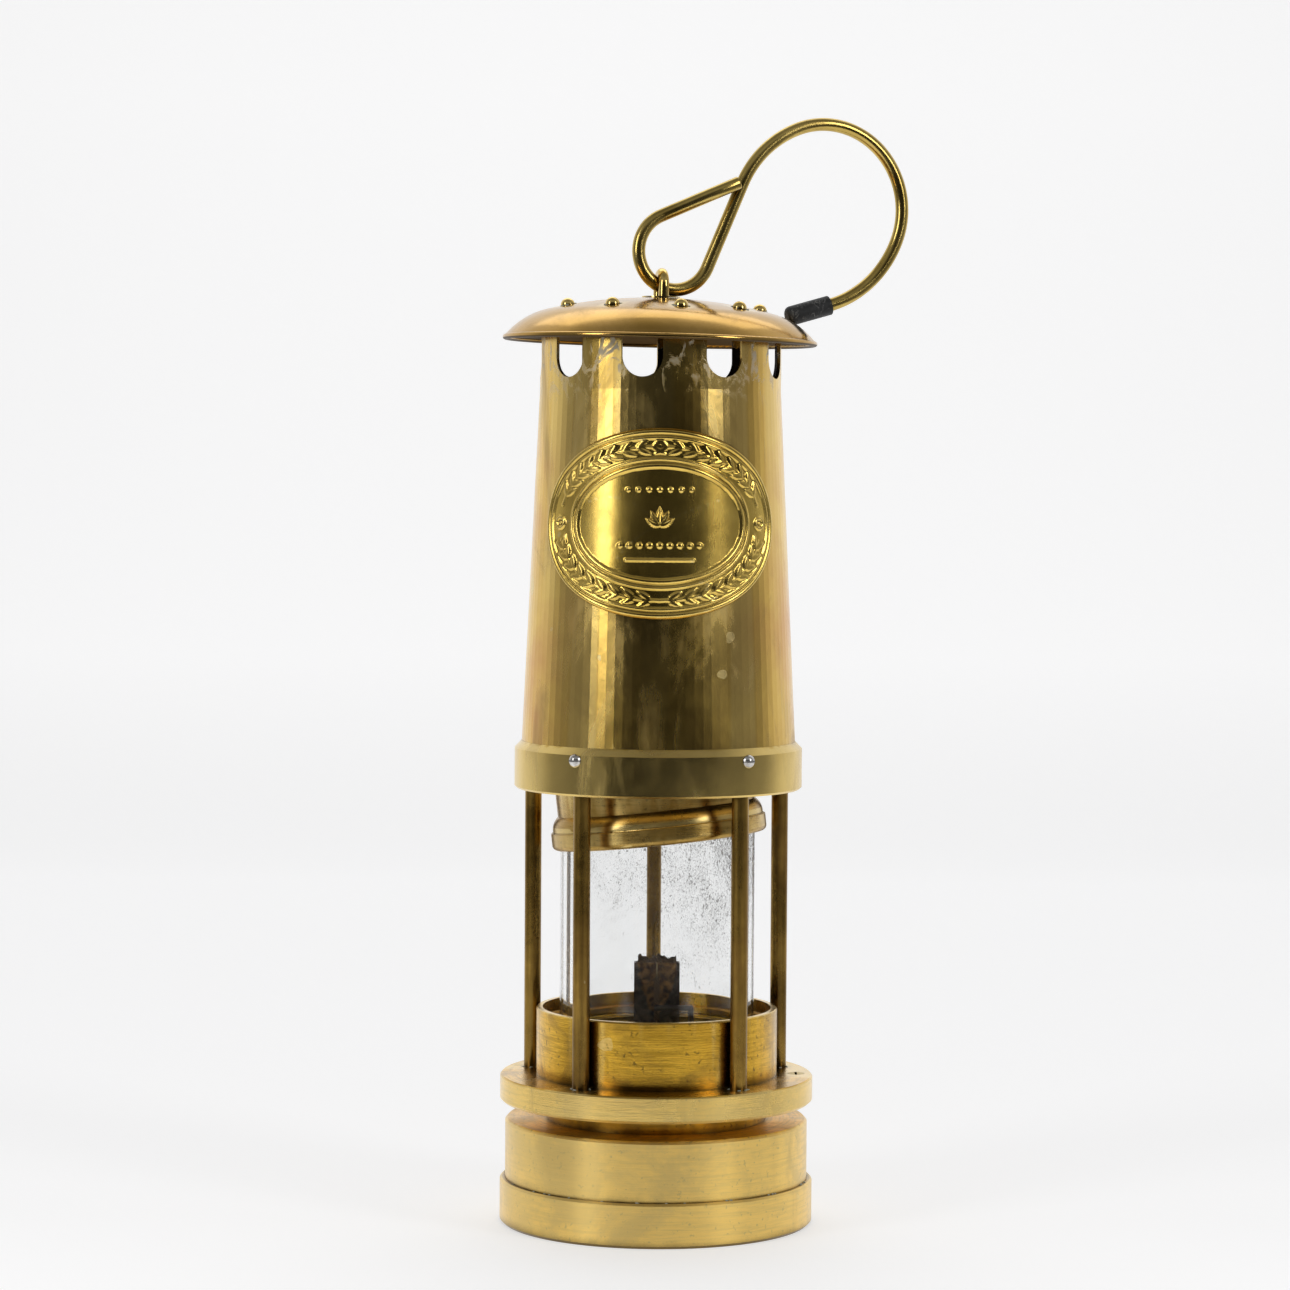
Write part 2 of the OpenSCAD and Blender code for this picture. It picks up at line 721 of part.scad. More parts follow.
module outer_gauze() { gauze_cone(gauze_r, gauze_top_r, gauze_h); }
module inner_gauze() { gauze_cone(gauze_r - gauze_gap, gauze_top_r - gauze_gap, gauze_h - 8); }

lower_ring();
pillar(0);  // pillar_1
pillar(1);  // pillar_2
pillar(2);  // pillar_3
pillar(3);  // pillar_4
pillar(4);  // pillar_5
upper_ring();
ring_screws();
bonnet();
badge_plate();
hood();
hood_rivets();
lock_bolt();
swivel_eye();
eye_washer();
hook_wire();
tip_sleeve();
glass();
lower_gasket();
base_cup();
vessel_shell();
burner_plate();
wick_tube();
filler_plug();
filler_washer();
pricker_tube();
pricker_wire();
pricker_knob();
wick();
carrier_band();
carrier_bell();
upper_gasket();
gauze_ring();
outer_gauze();
inner_gauze();
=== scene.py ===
import math
import random

import bmesh
import bpy
from mathutils import Matrix, Vector


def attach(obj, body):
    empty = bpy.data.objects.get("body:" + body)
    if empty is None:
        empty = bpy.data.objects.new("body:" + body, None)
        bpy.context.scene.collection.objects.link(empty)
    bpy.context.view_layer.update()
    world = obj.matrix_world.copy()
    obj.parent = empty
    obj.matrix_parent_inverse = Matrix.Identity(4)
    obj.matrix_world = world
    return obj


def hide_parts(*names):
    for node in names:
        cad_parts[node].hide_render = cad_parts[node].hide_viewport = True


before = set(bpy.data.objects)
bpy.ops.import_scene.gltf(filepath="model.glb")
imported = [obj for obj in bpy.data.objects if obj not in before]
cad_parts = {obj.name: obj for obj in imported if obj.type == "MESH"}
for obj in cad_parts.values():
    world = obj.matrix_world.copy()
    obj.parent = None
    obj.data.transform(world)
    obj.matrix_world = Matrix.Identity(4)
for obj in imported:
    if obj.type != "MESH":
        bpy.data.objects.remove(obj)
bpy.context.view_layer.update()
MM = 0.001

# ---------------------------------------------------------------- sizes, in millimetres, as in the frame
CONE_LOW_R, CONE_TOP_R = 38.8, 34.1      # bonnet radius at the foot and at the top of its cone
CONE_LOW_Z, CONE_TOP_Z = 137.0, 236.0
CONE_SLOPE = (CONE_TOP_R - CONE_LOW_R) / (CONE_TOP_Z - CONE_LOW_Z)
BONNET_SKIN = 0.4                        # half of the bonnet's sheet
BADGE_Z = 199.0
BADGE_HALF_W, BADGE_HALF_H = 36.7, 26.2
INNER_HALF_W, INNER_HALF_H = 24.3, 15.9
PILLAR_R, PILLAR_D, PILLAR_COUNT, PILLAR_TURN = 37.2, 4.75, 5, 1.7
FLANGE_TOP = 42.0
LEDGE_R, LEDGE_Z = 43.05, 12.55          # step between the foot and the vessel's body
RIVET_CIRCLE_R, RIVET_COUNT, RIVET_TURN, RIVET_EDGE_R = 28, 9, 11.4, 2.15
CROWN_R, CROWN_Z, HOOD_TILT = 134, 262.2, 0.0192   # the hood's crown is a sphere, tilted a little
HOOK_WIRE_R = 1.875
WICK_HALF_W, WICK_HALF_T = 5.65, 1.2
WICK_LOW, WICK_HIGH, CHAR_FROM = 8.0, 75.4, 73.0


# ---------------------------------------------------------------- node helpers
class Nodes:
    """A small helper that adds and links the nodes of one material."""

    def __init__(self, name):
        self.material = bpy.data.materials.new(name)
        self.material.use_nodes = True
        self.tree = self.material.node_tree
        self.shader = self.tree.nodes["Principled BSDF"]
        self.output = self.tree.nodes["Material Output"]

    def add(self, kind, **settings):
        node = self.tree.nodes.new(kind)
        for key, value in settings.items():
            if hasattr(node, key):
                setattr(node, key, value)
            else:
                self.put(node.inputs[key.replace("_", " ")], value)
        return node

    def put(self, socket, value):
        if isinstance(value, bpy.types.NodeSocket):
            self.tree.links.new(value, socket)
        else:
            socket.default_value = value

    def coords(self, scale=(1, 1, 1), place=(0, 0, 0), turn=(0, 0, 0)):
        where = self.add("ShaderNodeTexCoord").outputs["Object"]
        mapping = self.add("ShaderNodeMapping")
        self.put(mapping.inputs["Vector"], where)
        mapping.inputs["Scale"].default_value = scale
        mapping.inputs["Location"].default_value = place
        mapping.inputs["Rotation"].default_value = turn
        return mapping.outputs["Vector"]

    def xyz(self, kind="Object"):
        """X, Y and Z of a texture coordinate, apart."""
        split = self.add("ShaderNodeSeparateXYZ")
        self.put(split.inputs[0], self.add("ShaderNodeTexCoord").outputs[kind])
        return split.outputs["X"], split.outputs["Y"], split.outputs["Z"]

    def axis_distance(self, x, y):
        return self.math("SQRT", self.math("ADD", self.math("MULTIPLY", x, x), self.math("MULTIPLY", y, y)))

    def round_coords(self, around=1.0, along=1.0):
        """Angle round the Z axis, radius and height, so a texture can run round the lamp."""
        x, y, z = self.xyz()
        join = self.add("ShaderNodeCombineXYZ")
        self.put(join.inputs["X"], self.math("MULTIPLY", self.math("ARCTAN2", y, x), around))
        self.put(join.inputs["Y"], self.math("MULTIPLY", self.axis_distance(x, y), along))
        self.put(join.inputs["Z"], self.math("MULTIPLY", z, along))
        return join.outputs[0]

    def noise(self, vector, scale, detail=4.0, roughness=0.6, distortion=0.0):
        node = self.add("ShaderNodeTexNoise")
        self.put(node.inputs["Vector"], vector)
        node.inputs["Scale"].default_value = scale
        node.inputs["Detail"].default_value = detail
        node.inputs["Roughness"].default_value = roughness
        node.inputs["Distortion"].default_value = distortion
        return node.outputs["Fac"]

    def ramp(self, value, stops, mode="LINEAR"):
        node = self.add("ShaderNodeValToRGB")
        node.color_ramp.interpolation = mode
        while len(node.color_ramp.elements) < len(stops):
            node.color_ramp.elements.new(0.5)
        for element, (place, colour) in zip(node.color_ramp.elements, stops):
            element.position = place
            element.color = (*colour, 1) if isinstance(colour, tuple) else (colour, colour, colour, 1)
        self.put(node.inputs["Fac"], value)
        return node.outputs["Color"]

    def math(self, operation, a, b=0.0, clamp=False):
        node = self.add("ShaderNodeMath", operation=operation)
        node.use_clamp = clamp
        self.put(node.inputs[0], a)
        self.put(node.inputs[1], b)
        return node.outputs[0]

    def mix(self, fac, a, b, blend="MIX"):
        node = self.add("ShaderNodeMix", data_type="RGBA", blend_type=blend)
        self.put(node.inputs["Factor"], fac)
        for socket, value in ((node.inputs[6], a), (node.inputs[7], b)):
            self.put(socket, (*value, 1) if isinstance(value, tuple) else value)
        return node.outputs[2]

    def bump(self, height, strength, distance, normal=None):
        node = self.add("ShaderNodeBump")
        self.put(node.inputs["Height"], height)
        node.inputs["Strength"].default_value = strength
        node.inputs["Distance"].default_value = distance
        if normal is not None:
            self.put(node.inputs["Normal"], normal)
        return node.outputs["Normal"]

    def set(self, **values):
        for key, value in values.items():
            socket = self.shader.inputs[key.replace("_", " ")]
            if isinstance(value, tuple) and len(value) == 3 and socket.type == "RGBA":
                value = (*value, 1)
            self.put(socket, value)
        return self.material


# ---------------------------------------------------------------- brass
# Colours that use and age add to brass, and the colours of painted shade, as linear RGB
STAIN_BROWN = (0.20, 0.105, 0.028)
LIFTED_LACQUER = (0.82, 0.66, 0.32)
HANDLED_BROWN = (0.36, 0.215, 0.045)
PIT_BROWN = (0.15, 0.09, 0.03)
STREAK_BROWN = (0.10, 0.058, 0.020)
WORN_EDGE = (0.95, 0.74, 0.30)
DULL_HOLLOW = (0.16, 0.095, 0.03)
# Painted shade with grime, for the corners where two pieces meet
CORNER_SHADE_GRIME = (0.085, 0.052, 0.018)
DRY_POLISH = (0.68, 0.67, 0.62)
COPPER_BLOOM = (0.68, 0.34, 0.13)
# Painted shade with soot, for the faces that look down
HOOD_UNDER_SHADE_SOOT = (0.050, 0.034, 0.020)
BONNET_SOOT = (0.045, 0.032, 0.022)
SHADE_GRIME_REACH = 3.5                        # how far the painted shade and grime spread from a corner, mm


def pale_spots(n, where):
    """Mask of small uneven spots, where damp has lifted the lacquer."""
    scatter = n.add("ShaderNodeTexNoise")
    n.put(scatter.inputs["Vector"], where)
    scatter.inputs["Scale"].default_value = 160
    shrink = n.add("ShaderNodeVectorMath", operation="SCALE")
    n.put(shrink.inputs[0], scatter.outputs["Color"])
    shrink.inputs["Scale"].default_value = 4 * MM
    warp = n.add("ShaderNodeVectorMath", operation="ADD")
    n.put(warp.inputs[0], where)
    n.put(warp.inputs[1], shrink.outputs[0])
    cell = n.add("ShaderNodeTexVoronoi", feature="F1")
    n.put(cell.inputs["Vector"], warp.outputs[0])
    cell.inputs["Scale"].default_value = 62
    size = n.ramp(n.noise(where, 34, 2), [(0.50, 0.0), (0.72, 0.34)])
    return n.math("LESS_THAN", cell.outputs["Distance"], n.math("MULTIPLY", size, 0.75))


def turned_colour(n, tone, dark):
    """Fine turned lines, some of them dark, with handled patches and pits."""
    turned = n.noise(n.round_coords(0.06, 26.0), 42, 6, 0.75)
    tone = n.mix(n.ramp(turned, [(0.46, 0.0), (0.62, 0.6)]), tone, tuple(c * 0.55 for c in dark))
    patch = n.noise(n.coords(place=(0.4, 2.2, 0.3)), 52, 6, 0.66, 0.8)
    tone = n.mix(n.ramp(patch, [(0.46, 0.0), (0.60, 0.62)]), tone, HANDLED_BROWN)
    pits = n.ramp(n.noise(n.coords(place=(1.4, 0.2, 2.3)), 700, 3, 0.6), [(0.62, 0.0), (0.68, 0.7)])
    return n.mix(pits, tone, PIT_BROWN)


def smear_mask(n):
    """Polish left under the hood, smeared round the slots."""
    height = n.ramp(n.math("MULTIPLY", n.xyz()[2], 4.0), [(0.925, 0.0), (0.992, 1.0)])
    wipe = n.noise(n.coords(scale=(1, 1, 0.6), turn=(0.5, 0.3, 0)), 150, 6, 0.7, 1.6)
    return n.math("MULTIPLY", height, n.ramp(wipe, [(0.53, 0.0), (0.60, 1.0)]))


def bloom_mask(n):
    """Copper-red bloom, strongest at the two sides."""
    aside = n.math("ABSOLUTE", n.math("MULTIPLY", n.xyz()[0], 25.0))
    cloud = n.noise(n.coords(place=(5, 1, 2)), 26, 4)
    return n.math("MULTIPLY", n.ramp(cloud, [(0.45, 0.0), (0.65, 1.0)]),
                  n.ramp(aside, [(0.45, 0.0), (0.9, 0.7)]))


def brass(name, light, dark, rough=0.22, brushed=0.0, stain=0.35, spots=0.5, streak=0.0, edges=1.0,
          smear=False, inside=None, corners=0.85, under=False):
    """Aged brass: mottled colour, brown stains and pale spots, brushing round the axis, worn bright edges,
    painted shade with grime where pieces meet, and painted shade with soot on faces that look down.
    """
    n = Nodes(name)
    where = n.coords()
    cloud = n.noise(where, 28, 6, 0.62, 0.6)
    fine = n.noise(where, 260, 5, 0.7)
    tone = n.ramp(cloud, [(0.36, dark), (0.62, light)])
    tone = n.mix(n.math("MULTIPLY", fine, 0.25), tone, dark)

    # Brown stains, stretched down the lamp
    drips = n.noise(n.coords(scale=(1, 1, 0.35), place=(3.1, 0.7, 1.9)), 55, 5, 0.65, 0.9)
    drip_mask = n.ramp(drips, [(0.52, 0.0), (0.70, stain)])
    tone = n.mix(drip_mask, tone, STAIN_BROWN)
    spot = pale_spots(n, where)
    tone = n.mix(n.math("MULTIPLY", spot, spots * 0.8), tone, LIFTED_LACQUER)
    if brushed:
        tone = turned_colour(n, tone, dark)
    if streak:
        lines = n.noise(n.coords(scale=(1, 1, 0.04)), 420, 4, 0.7)
        line_mask = n.ramp(lines, [(0.42, 0.0), (0.66, 1.0)])
        tone = n.mix(n.math("MULTIPLY", line_mask, streak), tone, STREAK_BROWN)

    # Edges are rubbed bright, and hollows keep their tarnish
    edge = n.add("ShaderNodeNewGeometry").outputs["Pointiness"]
    tone = n.mix(n.ramp(edge, [(0.515, 0.0), (0.56, 0.55 * edges)]), tone, WORN_EDGE)
    tone = n.mix(n.ramp(edge, [(0.43, 0.5 * edges), (0.485, 0.0)]), tone, DULL_HOLLOW)

    # Painted shade with grime: darker where two pieces meet, found by ambient occlusion
    corner = n.add("ShaderNodeAmbientOcclusion", samples=6)
    corner.inputs["Distance"].default_value = SHADE_GRIME_REACH * MM
    shade = n.math("ADD", corner.outputs["AO"], n.math("MULTIPLY", n.math("SUBTRACT", cloud, 0.5), 0.7))
    tone = n.mix(n.ramp(shade, [(0.45, corners), (0.86, 0.0)]), tone, CORNER_SHADE_GRIME)

    scratch = n.noise(n.round_coords(0.03, 14.0) if brushed else n.round_coords(0.35, 1.0), 300, 5, 0.75)
    roughness = rough
    for change in (n.math("MULTIPLY", n.math("SUBTRACT", cloud, 0.45), 0.30),
                   n.math("MULTIPLY", drip_mask, 0.28),
                   n.math("MULTIPLY", spot, 0.10 * spots),
                   n.math("MULTIPLY", n.math("SUBTRACT", scratch, 0.5), 0.12)):
        roughness = n.math("ADD", roughness, change, clamp=True)

    normal = n.bump(n.noise(where, 75, 3, 0.5), 0.10, 1.0 * MM)
    if brushed:
        rings = n.noise(n.round_coords(0.05, 60.0), 60, 4, 0.7)
        normal = n.bump(rings, brushed, 0.3 * MM, normal)
        # Turned brass spreads its light up and down, across the fine grooves
        tangent = n.add("ShaderNodeTangent", direction_type="RADIAL", axis="Z").outputs[0]
        n.set(Tangent=tangent, Anisotropic=0.75, Anisotropic_Rotation=0.25)
    normal = n.bump(fine, 0.05, 0.2 * MM, normal)

    metal = 1.0
    if smear:
        mask = smear_mask(n)
        tone = n.mix(n.math("MULTIPLY", mask, 0.75), tone, DRY_POLISH)
        roughness = n.math("ADD", roughness, n.math("MULTIPLY", mask, 0.35), clamp=True)
        metal = n.math("SUBTRACT", 1.0, n.math("MULTIPLY", mask, 0.7), clamp=True)
        tone = n.mix(bloom_mask(n), tone, COPPER_BLOOM)
    if under:
        # Painted shade, with soot, on the faces that look down
        down = n.math("MULTIPLY", n.xyz("Normal")[2], -1.0)
        soot_and_shade = n.ramp(down, [(0.15, 0.0), (0.45, 0.93)])
        tone = n.mix(soot_and_shade, tone, HOOD_UNDER_SHADE_SOOT)
        roughness = n.math("MAXIMUM", roughness, n.math("MULTIPLY", soot_and_shade, 0.5))
    if inside is not None:
        # Soot on the inner face, nearer the axis than the middle of a coned sheet: (radius at Z = 0, slope)
        x, y, z = n.xyz()
        skin = n.math("ADD", inside[0] * MM, n.math("MULTIPLY", z, inside[1]))
        within = n.math("LESS_THAN", n.axis_distance(x, y), skin)
        tone = n.mix(within, tone, BONNET_SOOT)
        roughness = n.math("MAXIMUM", roughness, n.math("MULTIPLY", within, 0.6))
    return n.set(Base_Color=tone, Metallic=metal, Roughness=roughness, Normal=normal)


BURN_FOOT, BURN_RISE, BURN_HALF_W, SEAM_HALF_W = 59.5, 12.0, 5.6, 0.22   # mm, on the wick tube


def heated_brass(name):
    """The wick tube: dull grey-brown brass with a seam, and a shield-shaped burn, widest at the top."""
    n = Nodes(name)
    x, _, z = n.xyz()
    grain = n.noise(n.coords(), 420, 5)
    wobble = n.math("MULTIPLY", n.math("SUBTRACT", n.noise(n.coords(), 260, 4), 0.5), 3.5 * MM)
    level = n.math("DIVIDE", n.math("SUBTRACT", z, BURN_FOOT * MM), BURN_RISE * MM, clamp=True)
    aside = n.math("ABSOLUTE", x)
    reach = n.math("SUBTRACT", n.math("MULTIPLY", n.math("SQRT", level), BURN_HALF_W * MM), aside)
    burn = n.ramp(n.math("MULTIPLY", n.math("ADD", reach, wobble), 500.0), [(0.0, 0.0), (0.35, 1.0)])
    burnt = n.ramp(grain, [(0.38, (0.09, 0.045, 0.018)), (0.62, (0.42, 0.24, 0.09))])
    tone = n.mix(burn, n.ramp(grain, [(0.35, (0.045, 0.038, 0.032)), (0.65, (0.17, 0.14, 0.11))]), burnt)
    tone = n.mix(n.math("LESS_THAN", aside, SEAM_HALF_W * MM), tone, (0.46, 0.36, 0.20))
    soot = n.ramp(n.noise(n.coords(place=(2, 1, 3)), 300, 5), [(0.50, 0.0), (0.70, 0.8)])
    tone = n.mix(soot, tone, (0.025, 0.02, 0.016))
    return n.set(Base_Color=tone, Metallic=0.75, Roughness=n.math("ADD", 0.42, n.math("MULTIPLY", soot, 0.3)),
                 Normal=n.bump(n.noise(n.coords(), 500, 5), 0.25, 0.4 * MM))


def steel(name, tone, rough):
    """Plain steel, clouded with rust and soot."""
    n = Nodes(name)
    cloud = n.noise(n.coords(), 400, 5)
    colour = n.mix(n.ramp(cloud, [(0.4, 0.0), (0.7, 0.55)]), tone, (0.16, 0.13, 0.10))
    roughness = n.math("ADD", rough, n.math("MULTIPLY", cloud, 0.2))
    return n.set(Base_Color=colour, Metallic=1.0, Roughness=roughness, Normal=n.bump(cloud, 0.2, 0.3 * MM))


def rubber(name):
    """Black rubber with dust caught in its scuffs."""
    n = Nodes(name)
    scuff = n.noise(n.coords(scale=(1, 1, 0.5)), 520, 6, 0.75, 1.2)
    dust = n.ramp(scuff, [(0.56, 0.0), (0.66, 0.75)])
    colour = n.mix(dust, (0.018, 0.019, 0.020), (0.27, 0.27, 0.26))
    return n.set(Base_Color=colour, Roughness=n.math("ADD", 0.42, n.math("MULTIPLY", scuff, 0.3)),
                 Normal=n.bump(n.noise(n.coords(), 650, 5), 0.5, 0.4 * MM))


def sooty_glass(name):
    """Clear glass with flecks of soot, thicker towards the top right, and a faint haze."""
    n = Nodes(name)
    n.set(Base_Color=(0.995, 1.0, 0.998), Roughness=0.01, Transmission_Weight=1.0, IOR=1.38)
    x, _, z = n.xyz()
    up = n.math("MULTIPLY", n.math("SUBTRACT", z, 88 * MM), 1.2)
    patch = n.noise(n.coords(scale=(1, 1, 0.8)), 70, 6, 0.65, 0.8)
    fleck = n.noise(n.coords(scale=(1, 1, 0.6), turn=(0.2, 0.4, 0)), 1250, 5, 0.70, 1.8)
    scratch = n.noise(n.round_coords(1.2, 0.35), 420, 6, 0.75, 0.9)
    amount = n.math("ADD", n.math("MULTIPLY", patch, 0.20), n.math("MULTIPLY", fleck, 0.52))
    amount = n.math("ADD", n.math("ADD", amount, n.math("MULTIPLY", scratch, 0.28)), n.math("ADD", x, up))
    mask = n.ramp(amount, [(0.572, 0.0), (0.60, 0.75), (0.65, 1.0)])
    haze = n.ramp(patch, [(0.40, 0.0), (0.7, 0.03)])

    surface = n.shader
    for cover, colour, rough in ((haze, (0.86, 0.85, 0.83, 1), 0.7), (mask, (0.10, 0.075, 0.055, 1), 0.85)):
        layer = n.add("ShaderNodeBsdfPrincipled")
        layer.inputs["Base Color"].default_value = colour
        layer.inputs["Roughness"].default_value = rough
        joined = n.add("ShaderNodeMixShader")
        n.put(joined.inputs[0], cover)
        n.put(joined.inputs[1], surface.outputs[0])
        n.put(joined.inputs[2], layer.outputs[0])
        surface = joined
    n.put(n.output.inputs["Surface"], surface.outputs[0])
    return n.material


def fibre(name, tone):
    """Pressed fibre, with its grain round the ring."""
    n = Nodes(name)
    grain = n.noise(n.round_coords(0.6, 1.0), 700, 5, 0.8)
    colour = n.mix(grain, tuple(c * 0.5 for c in tone), tone)
    return n.set(Base_Color=colour, Roughness=0.9, Normal=n.bump(grain, 0.6, 0.4 * MM))


def charred_cotton(name):
    """Woven cotton, pale brown below and charred at the burning end."""
    n = Nodes(name)
    weave = n.add("ShaderNodeTexWave", wave_type="BANDS")
    n.put(weave.inputs["Vector"], n.coords(turn=(0, 0.78, 0)))
    weave.inputs["Scale"].default_value = 500
    level = n.math("DIVIDE", n.math("SUBTRACT", n.xyz()[2], 72.5 * MM), 4 * MM, clamp=True)
    ash = n.ramp(n.noise(n.coords(), 900, 4), [(0.5, 0.0), (0.68, 0.6)])
    colour = n.mix(level, (0.22, 0.14, 0.07), (0.030, 0.022, 0.016))
    colour = n.mix(n.math("MULTIPLY", ash, level), colour, (0.30, 0.20, 0.10))
    return n.set(Base_Color=colour, Roughness=0.95, Normal=n.bump(weave.outputs["Fac"], 0.6, 0.4 * MM))


def gauze_metal(name):
    """Dark iron wire with a little rust."""
    n = Nodes(name)
    colour = n.mix(n.noise(n.coords(), 90, 5), (0.10, 0.085, 0.07), (0.34, 0.30, 0.25))
    grain = n.bump(n.noise(n.coords(), 900, 3), 0.4, 0.3 * MM)
    return n.set(Base_Color=colour, Metallic=0.85, Roughness=0.5, Normal=grain)


def residue(name):
    """Dry polish and verdigris that gathers in corners."""
    n = Nodes(name)
    grain = n.noise(n.coords(), 900, 5)
    colour = n.mix(n.ramp(grain, [(0.4, 0.0), (0.65, 1.0)]), (0.42, 0.47, 0.38), (0.72, 0.72, 0.66))
    return n.set(Base_Color=colour, Roughness=0.9, Normal=n.bump(grain, 0.8, 0.4 * MM))


BONNET_INSIDE = (CONE_LOW_R - BONNET_SKIN - CONE_SLOPE * CONE_LOW_Z, CONE_SLOPE)

MATERIALS = {
    "bonnet": brass("brass_bonnet", (0.93, 0.590, 0.085), (0.66, 0.365, 0.040), rough=0.19, stain=0.75,
                    spots=0.9, smear=True, inside=BONNET_INSIDE),
    "badge": brass("brass_badge", (0.97, 0.69, 0.17), (0.78, 0.52, 0.10), rough=0.21, stain=0.3, spots=0.3),
    "hood": brass("brass_hood", (0.70, 0.43, 0.125), (0.52, 0.305, 0.070), rough=0.15, stain=0.25,
                  spots=0.2, under=True),
    "bright": brass("brass_bright", (0.96, 0.70, 0.24), (0.76, 0.52, 0.14), rough=0.10, stain=0.15,
                    spots=0.2, corners=0.2),
    "satin": brass("brass_satin", (0.94, 0.575, 0.070), (0.68, 0.385, 0.038), rough=0.22, brushed=0.12,
                   stain=0.4),
    "vessel": brass("brass_vessel", (0.99, 0.590, 0.070), (0.76, 0.425, 0.040), rough=0.32, brushed=0.15,
                    stain=0.35),
    "ring": brass("brass_ring", (0.80, 0.53, 0.10), (0.54, 0.335, 0.045), rough=0.17, stain=0.5),
    "carrier": brass("brass_carrier", (0.68, 0.46, 0.15), (0.46, 0.29, 0.07), rough=0.26, brushed=0.08,
                     stain=0.4),
    "pillar": brass("brass_pillar", (0.52, 0.32, 0.070), (0.19, 0.11, 0.022), rough=0.26, stain=0.6,
                    streak=0.5, edges=0.0),
    "wire": brass("brass_wire", (0.78, 0.58, 0.18), (0.55, 0.39, 0.10), rough=0.20, stain=0.3,
                  streak=0.12, edges=0.0),
    "dark": brass("brass_dark", (0.36, 0.25, 0.09), (0.19, 0.125, 0.04), rough=0.40, stain=0.6),
    "heated": heated_brass("brass_heated"),
    "steel": steel("steel_bright", (0.78, 0.77, 0.75), 0.14),
    "sooty_steel": steel("steel_sooty", (0.14, 0.12, 0.10), 0.45),
    "rubber": rubber("rubber_black"),
    "glass": sooty_glass("glass_sooty"),
    "gasket": fibre("fibre_gasket", (0.40, 0.33, 0.22)),
    "wick": charred_cotton("cotton_charred"),
    "gauze": gauze_metal("gauze_steel"),
    "residue": residue("residue_pale"),
}

NODE_MATERIALS = {
    "lower_ring": "satin", "upper_ring": "ring", "ring_screws": "steel", "bonnet": "bonnet",
    "badge_plate": "badge", "hood": "hood", "hood_rivets": "bright", "lock_bolt": "dark",
    "swivel_eye": "bright", "eye_washer": "dark", "hook_wire": "wire", "tip_sleeve": "rubber",
    "glass": "glass", "lower_gasket": "gasket", "base_cup": "vessel", "vessel_shell": "vessel",
    "burner_plate": "dark", "wick_tube": "heated", "filler_plug": "dark", "filler_washer": "gasket",
    "pricker_tube": "dark", "pricker_wire": "sooty_steel", "pricker_knob": "dark", "wick": "wick",
    "carrier_band": "carrier", "carrier_bell": "carrier", "upper_gasket": "gasket",
    "gauze_ring": "dark", "outer_gauze": "gauze", "inner_gauze": "gauze",
}
for number in range(1, PILLAR_COUNT + 1):
    NODE_MATERIALS["pillar_%d" % number] = "pillar"


def dress(obj, key):
    obj.data.materials.clear()
    obj.data.materials.append(MATERIALS[key])


for node_name, key in NODE_MATERIALS.items():
    dress(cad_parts[node_name], key)


# ---------------------------------------------------------------- mesh helpers
def link(name, mesh, key):
    """A smooth-shaded object in one material, added to the scene."""
    obj = bpy.data.objects.new(name, mesh)
    bpy.context.scene.collection.objects.link(obj)
    dress(obj, key)
    for polygon in mesh.polygons:
        polygon.use_smooth = True
    return obj


def mesh_object(name, points, faces, key):
    mesh = bpy.data.meshes.new(name)
    mesh.from_pydata([Vector(p) * MM for p in points], [], faces)
    mesh.update()
    return link(name, mesh, key)


def cone_radius(z):
    return CONE_LOW_R + (CONE_TOP_R - CONE_LOW_R) * (z - CONE_LOW_Z) / (CONE_TOP_Z - CONE_LOW_Z)


def smoothstep(low, high, value):
    t = min(max((value - low) / (high - low), 0.0), 1.0)
    return t * t * (3 - 2 * t)


def ridge(distance, half_width):
    """Height from 0 to 1 of a rounded ridge, at a distance from its crest."""
    t = abs(distance) / half_width
    return math.sqrt(max(0.0, 1 - t * t)) if t < 1 else 0.0


# ---------------------------------------------------------------- badge plate
LEAF_PAIRS, LEAF_LEN, LEAF_W, LEAF_LEAN = 44, 4.6, 1.7, 0.55
LEAF_REACH = 6.5                         # no leaf of a pair lies further from its stem point than this
WREATH_GAP_COS = 0.972                   # the wreath stops short of the bead at each side
# Ridges round the two ovals: (how far outside the oval, half width, height)
OUTER_RIDGES = [(-1.0, 0.75, 0.95), (-2.6, 0.6, 0.8)]
INNER_RIDGES = [(0.0, 0.8, 0.95), (1.8, 0.5, 0.7)]
PETAL_COUNT, PETAL_TURN, PETAL_LEN, PETAL_W, FLAME_Y = 5, 0.52, 5.4, 2.1, -0.8
# Rows of beads in the inner oval: (beads, spacing, Y, bead radius, height)
BEAD_ROWS = [(9, 2.7, -6.0, 0.85, 0.8), (7, 2.9, 9.3, 0.75, 0.7)]
BAR_Y, BAR_HALF_LEN = -10.0, 9.5
SHEET_T, RELIEF, LIFT = 0.55, 0.6, 0.06


def oval_distance(x, y, half_w, half_h):
    """Roughly how far a flat point lies outside an oval."""
    k = math.hypot(x / half_w, y / half_h)
    slope = math.hypot(x / half_w ** 2, y / half_h ** 2)
    return (k * k - k) / slope if slope > 1e-9 else -min(half_w, half_h)


def leaf_height(u, v, length, width):
    """A pointed leaf along u, from 0 to length, with a groove down its middle."""
    if not 0 < u < length:
        return 0.0
    half = width / 2 * math.sin(math.pi * (u / length) ** 0.8)
    if abs(v) >= half:
        return 0.0
    return math.sqrt(1 - (v / half) ** 2) * (0.72 + 0.28 * min(1.0, abs(v) / 0.28))


